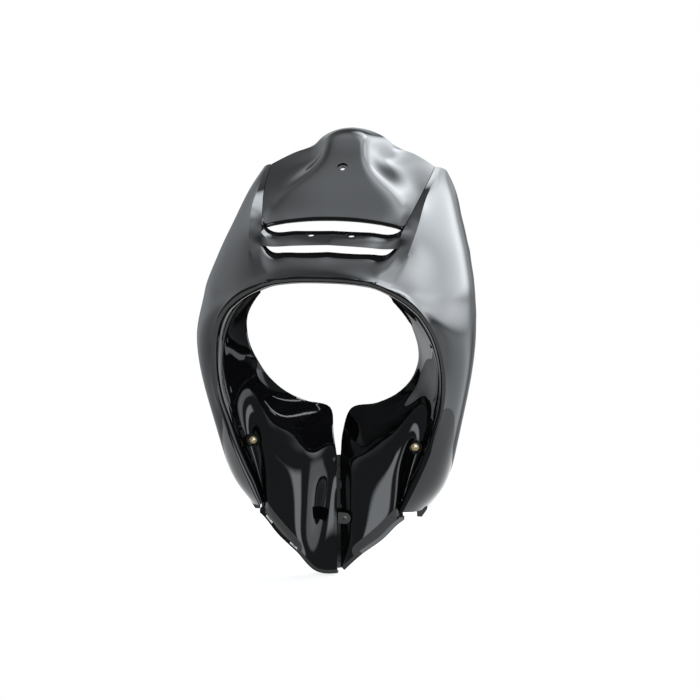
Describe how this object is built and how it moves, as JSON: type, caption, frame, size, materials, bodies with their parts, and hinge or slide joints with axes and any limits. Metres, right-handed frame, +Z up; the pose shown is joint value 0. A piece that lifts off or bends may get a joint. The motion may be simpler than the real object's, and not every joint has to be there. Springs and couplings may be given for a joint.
{
  "type": "motorcycle front fairing panel",
  "caption": "gloss black front panel of a small motorcycle: wings and rim round a wide rounded opening, domed top cowl, and lower cover halves that meet on a tongued seam",
  "frame": {"origin": "centre of the bounding box", "axes": "+X to the right of a viewer who faces the front of the panel, +Y rearward into the machine, +Z up along the panel"},
  "size_m": [0.3286, 0.2174, 0.5116],
  "materials": {
    "gloss_black_plastic": "gloss black paint over moulded plastic, clear reflections",
    "yellow_zinc_steel": "yellow passivated zinc",
    "black_screw_steel": "dull black zinc"
  },
  "bodies": {
    "root": {"outer_shell": "gloss_black_plastic", "top_cowl": "gloss_black_plastic", "lower_cover_right": "gloss_black_plastic", "lower_cover_left": "gloss_black_plastic", "captive_nut_left": "yellow_zinc_steel", "captive_nut_right": "yellow_zinc_steel", "cover_screw_left_1": "black_screw_steel", "cover_screw_left_2": "black_screw_steel", "cover_screw_left_3": "black_screw_steel", "cover_screw_right_1": "black_screw_steel", "cover_screw_right_2": "black_screw_steel", "cover_screw_right_3": "black_screw_steel", "cowl_screw_left_1": "black_screw_steel", "cowl_screw_left_2": "black_screw_steel", "cowl_screw_right_1": "black_screw_steel", "cowl_screw_right_2": "black_screw_steel"}
  },
  "joints": []
}
